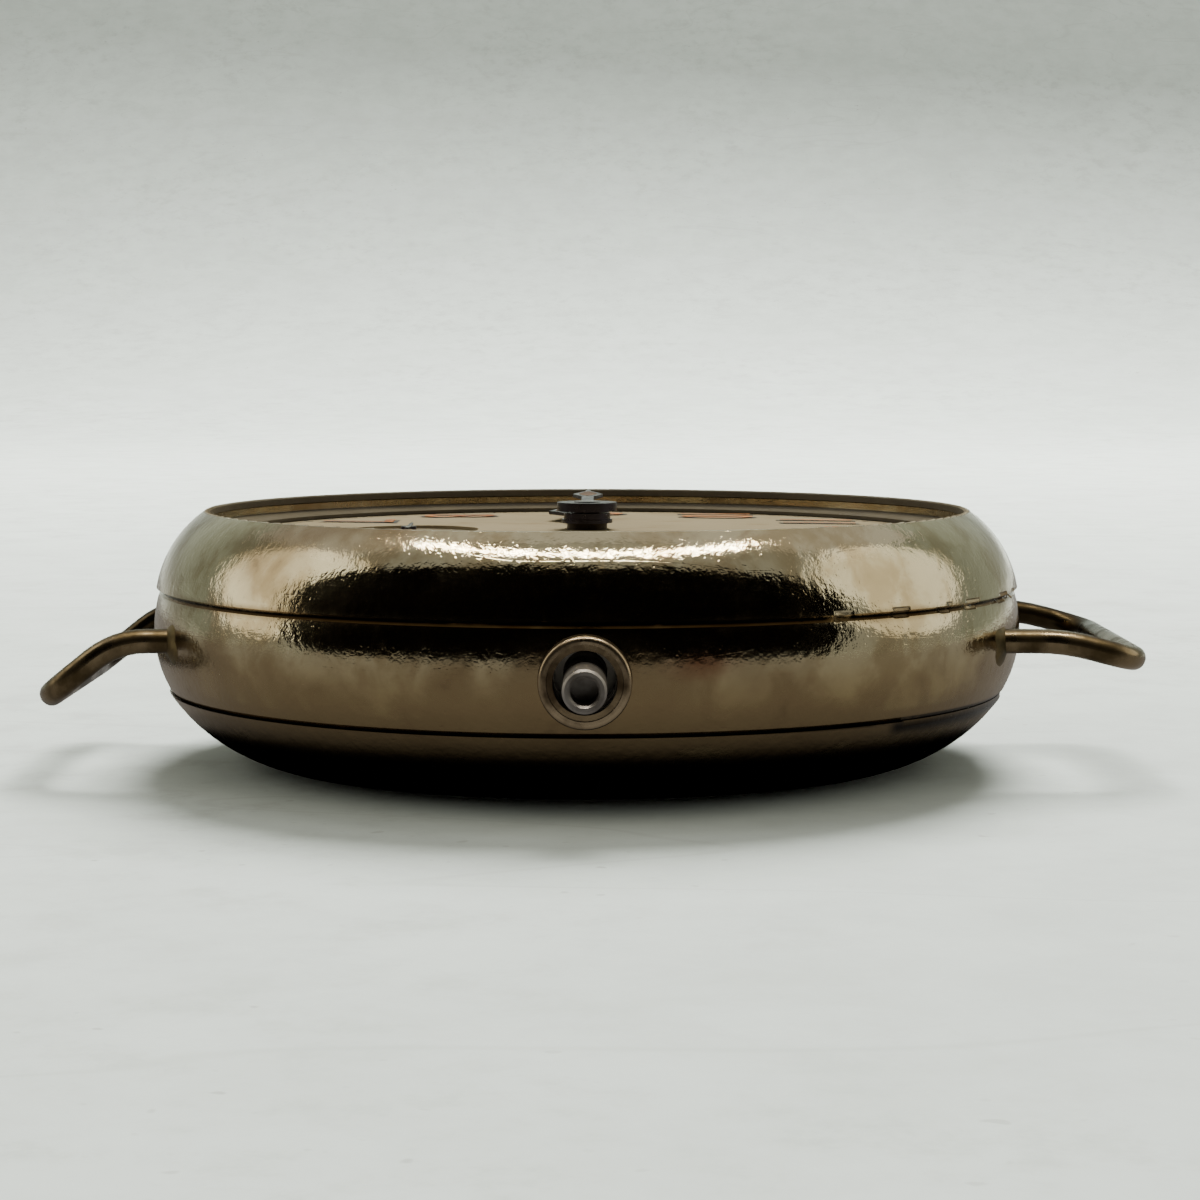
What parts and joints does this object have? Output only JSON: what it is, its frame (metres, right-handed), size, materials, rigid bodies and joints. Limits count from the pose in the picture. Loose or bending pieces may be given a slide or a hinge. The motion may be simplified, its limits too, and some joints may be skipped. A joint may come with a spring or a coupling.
{
  "type": "wristwatch head",
  "caption": "Round wire-lug wristwatch head with snap bezel and back, enamel dial, hands and a hand-wound lever movement; crown and crystal removed.",
  "frame": {"origin": "centre of the flat of the case back, on the axis of the case", "axes": "+Z towards the dial side, +Y towards 12 o'clock, +X towards 3 o'clock and the winding stem"},
  "size_m": [0.0363, 0.0411, 0.0099],
  "materials": {
    "case_metal": "worn mirror polish over pale champagne nickel-silver tone, tan tarnish by the seams",
    "tube_metal": "dull drawn tube",
    "enamel": "glossy fired enamel, cream",
    "blued_steel": "polished, blued almost black",
    "steel": "fine ground steel",
    "gilt_brass": "gilt, satin",
    "nickel": "nickel-plated brass, satin with fine stripes",
    "ruby": "polished synthetic ruby"
  },
  "bodies": {
    "case": {"case_band": "case_metal", "lug_wire_12": "case_metal", "lug_wire_6": "case_metal", "pendant_tube": "case_metal", "pendant_sleeve": "tube_metal", "case_screws": "blued_steel", "dial": "enamel", "dial_screws": "blued_steel", "main_plate": "nickel", "barrel_bridge": "nickel", "train_bridge": "nickel", "balance_cock": "nickel", "pallet_cock": "nickel", "pallet_cock_screw": "blued_steel", "bridge_screws": "blued_steel", "train_jewels": "ruby", "balance_jewels": "ruby", "hairspring": "blued_steel", "hairspring_stud": "steel", "crown_wheel_screw": "blued_steel", "click_screw": "blued_steel", "click_spring": "steel", "setting_lever_screw": "steel", "setting_cover": "steel", "setting_cover_screw": "blued_steel"},
    "bezel": {"bezel": "case_metal"},
    "back": {"case_back": "case_metal"},
    "winding": {"winding_pinion": "steel"},
    "stem": {"winding_stem": "steel"},
    "clutch": {"clutch": "steel"},
    "crown_wheel": {"crown_wheel": "steel"},
    "ratchet": {"ratchet_wheel": "steel", "ratchet_screw": "blued_steel", "barrel_arbor": "steel"},
    "click": {"click": "steel"},
    "fourth": {"fourth_wheel": "gilt_brass", "seconds_hand": "blued_steel"},
    "third": {"third_wheel": "gilt_brass"},
    "centre": {"centre_wheel": "gilt_brass"},
    "barrel": {"barrel_drum": "gilt_brass", "barrel_cover": "gilt_brass", "mainspring": "steel"},
    "escape": {"escape_wheel": "steel"},
    "pallets": {"pallet_fork": "steel", "pallet_stones": "ruby"},
    "balance": {"balance_wheel": "gilt_brass", "balance_screws": "gilt_brass", "balance_staff": "steel", "impulse_roller": "steel", "impulse_jewel": "ruby", "hairspring_collet": "gilt_brass"},
    "regulator": {"regulator": "steel"},
    "minute": {"cannon_pinion": "steel", "minute_hand": "blued_steel"},
    "minute_wheel": {"minute_wheel": "steel"},
    "hour": {"hour_wheel": "gilt_brass", "hour_hand": "blued_steel"},
    "setting_wheel": {"setting_wheel": "steel"},
    "setting_lever": {"setting_lever": "steel"},
    "yoke": {"yoke": "steel"}
  },
  "joints": [
    {"name": "bezel_off", "type": "slide", "parent": "case", "child": "bezel", "axis": [0, 0, 1], "range_m": [0, 0.008]},
    {"name": "back_off", "type": "slide", "parent": "case", "child": "back", "axis": [0, 0, -1], "range_m": [0, 0.008]},
    {"name": "winding_turn", "type": "hinge", "parent": "case", "child": "winding", "pos_m": [0.01001, 0, 0.00485], "axis": [1, 0, 0], "continuous": true},
    {"name": "stem_pull", "type": "slide", "parent": "winding", "child": "stem", "axis": [1, 0, 0], "range_m": [0, 0.0009]},
    {"name": "clutch_shift", "type": "slide", "parent": "winding", "child": "clutch", "axis": [1, 0, 0], "range_m": [-0.0009, 0]},
    {"name": "setting_lever_turn", "type": "hinge", "parent": "case", "child": "setting_lever", "pos_m": [0.01166, 0.003, 0.00685], "axis": [0, 0, 1], "range_deg": [0, 18]},
    {"name": "yoke_turn", "type": "hinge", "parent": "case", "child": "yoke", "pos_m": [0.01069, -0.0034, 0.00685], "axis": [0, 0, 1], "range_deg": [0, 16.5]},
    {"name": "crown_wheel_turn", "type": "hinge", "parent": "case", "child": "crown_wheel", "pos_m": [0.00751, 0, 0.0026], "axis": [0, 0, 1], "continuous": true},
    {"name": "ratchet_turn", "type": "hinge", "parent": "case", "child": "ratchet", "pos_m": [0.00277, 0.00595, 0.0026], "axis": [0, 0, 1], "continuous": true},
    {"name": "click_turn", "type": "hinge", "parent": "case", "child": "click", "pos_m": [-0.00305, 0.00807, 0.0026], "axis": [0, 0, 1], "range_deg": [-9, 0], "stiffness_Nm_per_rad": 0.0005},
    {"name": "seconds_turn", "type": "hinge", "parent": "case", "child": "fourth", "pos_m": [0, -0.0069, 0.0034], "axis": [0, 0, 1], "continuous": true},
    {"name": "third_turn", "type": "hinge", "parent": "case", "child": "third", "pos_m": [0.00349, -0.00412, 0.0034], "axis": [0, 0, 1], "continuous": true},
    {"name": "centre_turn", "type": "hinge", "parent": "case", "child": "centre", "pos_m": [0, 0, 0.0034], "axis": [0, 0, 1], "continuous": true},
    {"name": "barrel_turn", "type": "hinge", "parent": "case", "child": "barrel", "pos_m": [0.00277, 0.00595, 0.0034], "axis": [0, 0, 1], "continuous": true},
    {"name": "escape_turn", "type": "hinge", "parent": "case", "child": "escape", "pos_m": [-0.0039, -0.00759, 0.0034], "axis": [0, 0, 1], "continuous": true},
    {"name": "pallet_swing", "type": "hinge", "parent": "case", "child": "pallets", "pos_m": [-0.00569, -0.0057, 0.0034], "axis": [0, 0, 1], "range_deg": [-4, 4]},
    {"name": "balance_swing", "type": "hinge", "parent": "case", "child": "balance", "pos_m": [-0.00861, -0.00263, 0.0034], "axis": [0, 0, 1], "range_deg": [-270, 270], "stiffness_Nm_per_rad": 0.0000005},
    {"name": "regulator_turn", "type": "hinge", "parent": "case", "child": "regulator", "pos_m": [-0.00861, -0.00263, 0.0026], "axis": [0, 0, 1], "range_deg": [-20, 20]},
    {"name": "hand_setting", "type": "hinge", "parent": "case", "child": "minute", "pos_m": [0, 0, 0.008], "axis": [0, 0, 1], "continuous": true},
    {"name": "minute_wheel_turn", "type": "hinge", "parent": "case", "child": "minute_wheel", "pos_m": [0.00193, -0.0023, 0.0066], "axis": [0, 0, 1], "continuous": true},
    {"name": "hour_turn", "type": "hinge", "parent": "case", "child": "hour", "pos_m": [0, 0, 0.008], "axis": [0, 0, 1], "continuous": true},
    {"name": "setting_wheel_turn", "type": "hinge", "parent": "case", "child": "setting_wheel", "pos_m": [0.00535, 0, 0.0066], "axis": [0, 0, 1], "continuous": true}
  ],
  "couplings": [
    {"joint": "crown_wheel_turn", "follows": "winding_turn", "ratio": 0.46667},
    {"joint": "ratchet_turn", "follows": "winding_turn", "ratio": -0.30435},
    {"joint": "clutch_shift", "follows": "stem_pull", "ratio": -1},
    {"joint": "setting_lever_turn", "follows": "stem_pull", "rad_per_m": 349.06},
    {"joint": "yoke_turn", "follows": "stem_pull", "rad_per_m": 319.97},
    {"joint": "third_turn", "follows": "seconds_turn", "ratio": -0.13333},
    {"joint": "centre_turn", "follows": "seconds_turn", "ratio": 0.016667},
    {"joint": "barrel_turn", "follows": "seconds_turn", "ratio": -0.0023148},
    {"joint": "escape_turn", "follows": "seconds_turn", "ratio": -10},
    {"joint": "minute_wheel_turn", "follows": "hand_setting", "ratio": -0.33333},
    {"joint": "hour_turn", "follows": "hand_setting", "ratio": 0.083333},
    {"joint": "setting_wheel_turn", "follows": "hand_setting", "ratio": 0.4}
  ]
}
